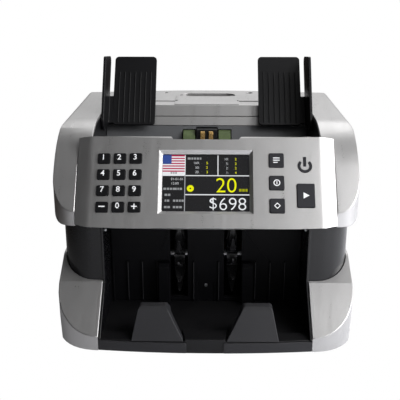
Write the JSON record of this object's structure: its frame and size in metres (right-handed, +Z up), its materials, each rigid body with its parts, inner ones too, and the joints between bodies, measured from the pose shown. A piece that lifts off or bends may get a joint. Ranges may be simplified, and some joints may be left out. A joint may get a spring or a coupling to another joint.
{
  "type": "banknote counting machine",
  "caption": "Table-top note counter with a sloping feed hopper and sliding note guides, a leaning control panel with a display and keys, and an open stacker pocket with vaned wheels.",
  "frame": {"origin": "on the table, under the middle of the case", "axes": "+X to the machine's right as seen from the front, +Y to the rear, +Z up"},
  "size_m": [0.264, 0.2738, 0.2277],
  "materials": {
    "silver_plastic": "satin silver-grey paint on moulded plastic",
    "black_plastic": "fine-grained black moulding",
    "gloss_black": "semi-gloss black moulding",
    "wheel_black": "glossy flexible black plastic",
    "grey_plastic": "dark grey moulding",
    "key_black": "satin black key cap",
    "key_grey": "satin dark grey key cap",
    "screen_glass": "clear window",
    "display": "lit colour display",
    "silicone": "grey silicone",
    "board_green": "green circuit board",
    "board_tan": "tan circuit board",
    "frame_steel": "plated sheet steel",
    "shaft_steel": "ground steel",
    "pulley_alloy": "turned alloy",
    "motor_metal": "dark painted steel can",
    "roller_rubber": "matt green rubber",
    "retard_rubber": "dark rubber on steel",
    "foot_rubber": "black rubber",
    "belt_rubber": "black rubber belt",
    "brass_forks": "bare brass",
    "pinion_plastic": "natural acetal",
    "rocker_plastic": "glossy black rocker"
  },
  "bodies": {
    "case": {"side_cover_left": "silver_plastic", "side_cover_right": "silver_plastic", "upper_shell": "silver_plastic", "front_panel": "silver_plastic", "hopper_back": "silver_plastic", "base_tray": "black_plastic", "lower_body": "black_plastic", "stacker_back": "black_plastic", "power_inlet": "black_plastic", "note_chute": "black_plastic", "hopper_tub": "gloss_black", "centre_block": "gloss_black", "throat_plate": "grey_plastic", "tray_stop_left": "grey_plastic", "tray_stop_right": "grey_plastic", "rack_guide": "grey_plastic", "image_sensors": "grey_plastic", "display_window": "screen_glass", "display_module": "display", "key_mat": "silicone", "key_board": "board_green", "main_board": "board_green", "power_board": "board_tan", "side_frame_left": "frame_steel", "side_frame_right": "frame_steel", "shaft_bearings": "frame_steel", "drive_motor": "motor_metal", "rubber_feet": "foot_rubber", "drive_belts": "belt_rubber", "brass_forks": "brass_forks"},
    "guide_left": {"note_guide_left": "gloss_black"},
    "guide_right": {"note_guide_right": "gloss_black"},
    "guide_pinion": {"rack_pinion": "pinion_plastic"},
    "pickup": {"pickup_rollers": "roller_rubber", "pickup_shaft": "shaft_steel"},
    "feed": {"feed_rollers": "roller_rubber", "feed_shaft": "shaft_steel"},
    "retard": {"retard_roller": "retard_rubber"},
    "stacker": {"stacker_wheels": "wheel_black", "stacker_shaft": "shaft_steel"},
    "motor": {"motor_pulley": "pulley_alloy"},
    "door": {"rear_door": "gloss_black"},
    "rocker": {"power_rocker": "rocker_plastic"},
    "key_1_cap": {"key_1": "key_black"},
    "key_2_cap": {"key_2": "key_black"},
    "key_3_cap": {"key_3": "key_black"},
    "key_4_cap": {"key_4": "key_black"},
    "key_5_cap": {"key_5": "key_black"},
    "key_6_cap": {"key_6": "key_black"},
    "key_7_cap": {"key_7": "key_black"},
    "key_8_cap": {"key_8": "key_black"},
    "key_9_cap": {"key_9": "key_black"},
    "key_0_cap": {"key_0": "key_black"},
    "key_special_cap": {"key_special": "key_black"},
    "key_add_cap": {"key_add": "key_black"},
    "key_mode_cap": {"key_mode": "key_grey"},
    "key_currency_cap": {"key_currency": "key_grey"},
    "key_check_cap": {"key_check": "key_grey"},
    "key_start_cap": {"key_start": "key_grey"},
    "key_power_cap": {"key_power": "key_grey"}
  },
  "joints": [
    {"name": "guide_left_slide", "type": "slide", "parent": "case", "child": "guide_left", "axis": [1, 0, 0], "range_m": [0, 0.04]},
    {"name": "guide_right_slide", "type": "slide", "parent": "case", "child": "guide_right", "axis": [1, 0, 0], "range_m": [-0.04, 0]},
    {"name": "guide_pinion_turn", "type": "hinge", "parent": "case", "child": "guide_pinion", "pos_m": [0, 0.075, 0.168], "axis": [0, 0, 1], "range_deg": [-235, 0]},
    {"name": "pickup_spin", "type": "hinge", "parent": "case", "child": "pickup", "pos_m": [0, 0.042, 0.14], "axis": [1, 0, 0], "continuous": true},
    {"name": "feed_spin", "type": "hinge", "parent": "case", "child": "feed", "pos_m": [0, 0.04, 0.108], "axis": [1, 0, 0], "continuous": true},
    {"name": "retard_spin", "type": "hinge", "parent": "case", "child": "retard", "pos_m": [0, 0.0145, 0.112], "axis": [1, 0, 0], "continuous": true},
    {"name": "stacker_spin", "type": "hinge", "parent": "case", "child": "stacker", "pos_m": [0, -0.0225, 0.047], "axis": [1, 0, 0], "continuous": true},
    {"name": "motor_spin", "type": "hinge", "parent": "case", "child": "motor", "pos_m": [0, 0.085, 0.036], "axis": [1, 0, 0], "continuous": true},
    {"name": "rear_door_hinge", "type": "hinge", "parent": "case", "child": "door", "pos_m": [0, 0.1262, 0.0542], "axis": [-1, 0, 0], "range_deg": [0, 90]},
    {"name": "power_rocker_tilt", "type": "hinge", "parent": "case", "child": "rocker", "pos_m": [0.089, 0.126, 0.032], "axis": [-1, 0, 0], "range_deg": [0, 14]},
    {"name": "key_1_press", "type": "slide", "parent": "case", "child": "key_1_cap", "axis": [0, 0.809, -0.5878], "range_m": [0, 0.0012], "stiffness_N_per_m": 400},
    {"name": "key_2_press", "type": "slide", "parent": "case", "child": "key_2_cap", "axis": [0, 0.809, -0.5878], "range_m": [0, 0.0012], "stiffness_N_per_m": 400},
    {"name": "key_3_press", "type": "slide", "parent": "case", "child": "key_3_cap", "axis": [0, 0.809, -0.5878], "range_m": [0, 0.0012], "stiffness_N_per_m": 400},
    {"name": "key_4_press", "type": "slide", "parent": "case", "child": "key_4_cap", "axis": [0, 0.809, -0.5878], "range_m": [0, 0.0012], "stiffness_N_per_m": 400},
    {"name": "key_5_press", "type": "slide", "parent": "case", "child": "key_5_cap", "axis": [0, 0.809, -0.5878], "range_m": [0, 0.0012], "stiffness_N_per_m": 400},
    {"name": "key_6_press", "type": "slide", "parent": "case", "child": "key_6_cap", "axis": [0, 0.809, -0.5878], "range_m": [0, 0.0012], "stiffness_N_per_m": 400},
    {"name": "key_7_press", "type": "slide", "parent": "case", "child": "key_7_cap", "axis": [0, 0.809, -0.5878], "range_m": [0, 0.0012], "stiffness_N_per_m": 400},
    {"name": "key_8_press", "type": "slide", "parent": "case", "child": "key_8_cap", "axis": [0, 0.809, -0.5878], "range_m": [0, 0.0012], "stiffness_N_per_m": 400},
    {"name": "key_9_press", "type": "slide", "parent": "case", "child": "key_9_cap", "axis": [0, 0.809, -0.5878], "range_m": [0, 0.0012], "stiffness_N_per_m": 400},
    {"name": "key_0_press", "type": "slide", "parent": "case", "child": "key_0_cap", "axis": [0, 0.809, -0.5878], "range_m": [0, 0.0012], "stiffness_N_per_m": 400},
    {"name": "key_special_press", "type": "slide", "parent": "case", "child": "key_special_cap", "axis": [0, 0.809, -0.5878], "range_m": [0, 0.0012], "stiffness_N_per_m": 400},
    {"name": "key_add_press", "type": "slide", "parent": "case", "child": "key_add_cap", "axis": [0, 0.809, -0.5878], "range_m": [0, 0.0012], "stiffness_N_per_m": 400},
    {"name": "key_mode_press", "type": "slide", "parent": "case", "child": "key_mode_cap", "axis": [0, 0.809, -0.5878], "range_m": [0, 0.0012], "stiffness_N_per_m": 400},
    {"name": "key_currency_press", "type": "slide", "parent": "case", "child": "key_currency_cap", "axis": [0, 0.809, -0.5878], "range_m": [0, 0.0012], "stiffness_N_per_m": 400},
    {"name": "key_check_press", "type": "slide", "parent": "case", "child": "key_check_cap", "axis": [0, 0.809, -0.5878], "range_m": [0, 0.0012], "stiffness_N_per_m": 400},
    {"name": "key_start_press", "type": "slide", "parent": "case", "child": "key_start_cap", "axis": [0, 0.809, -0.5878], "range_m": [0, 0.0012], "stiffness_N_per_m": 400},
    {"name": "key_power_press", "type": "slide", "parent": "case", "child": "key_power_cap", "axis": [0, 0.809, -0.5878], "range_m": [0, 0.0012], "stiffness_N_per_m": 400}
  ],
  "couplings": [
    {"joint": "guide_right_slide", "follows": "guide_left_slide", "ratio": -1},
    {"joint": "guide_pinion_turn", "follows": "guide_left_slide", "rad_per_m": -100},
    {"joint": "pickup_spin", "follows": "feed_spin", "ratio": 1},
    {"joint": "motor_spin", "follows": "feed_spin", "ratio": 1.5},
    {"joint": "stacker_spin", "follows": "feed_spin", "ratio": 0.5}
  ]
}
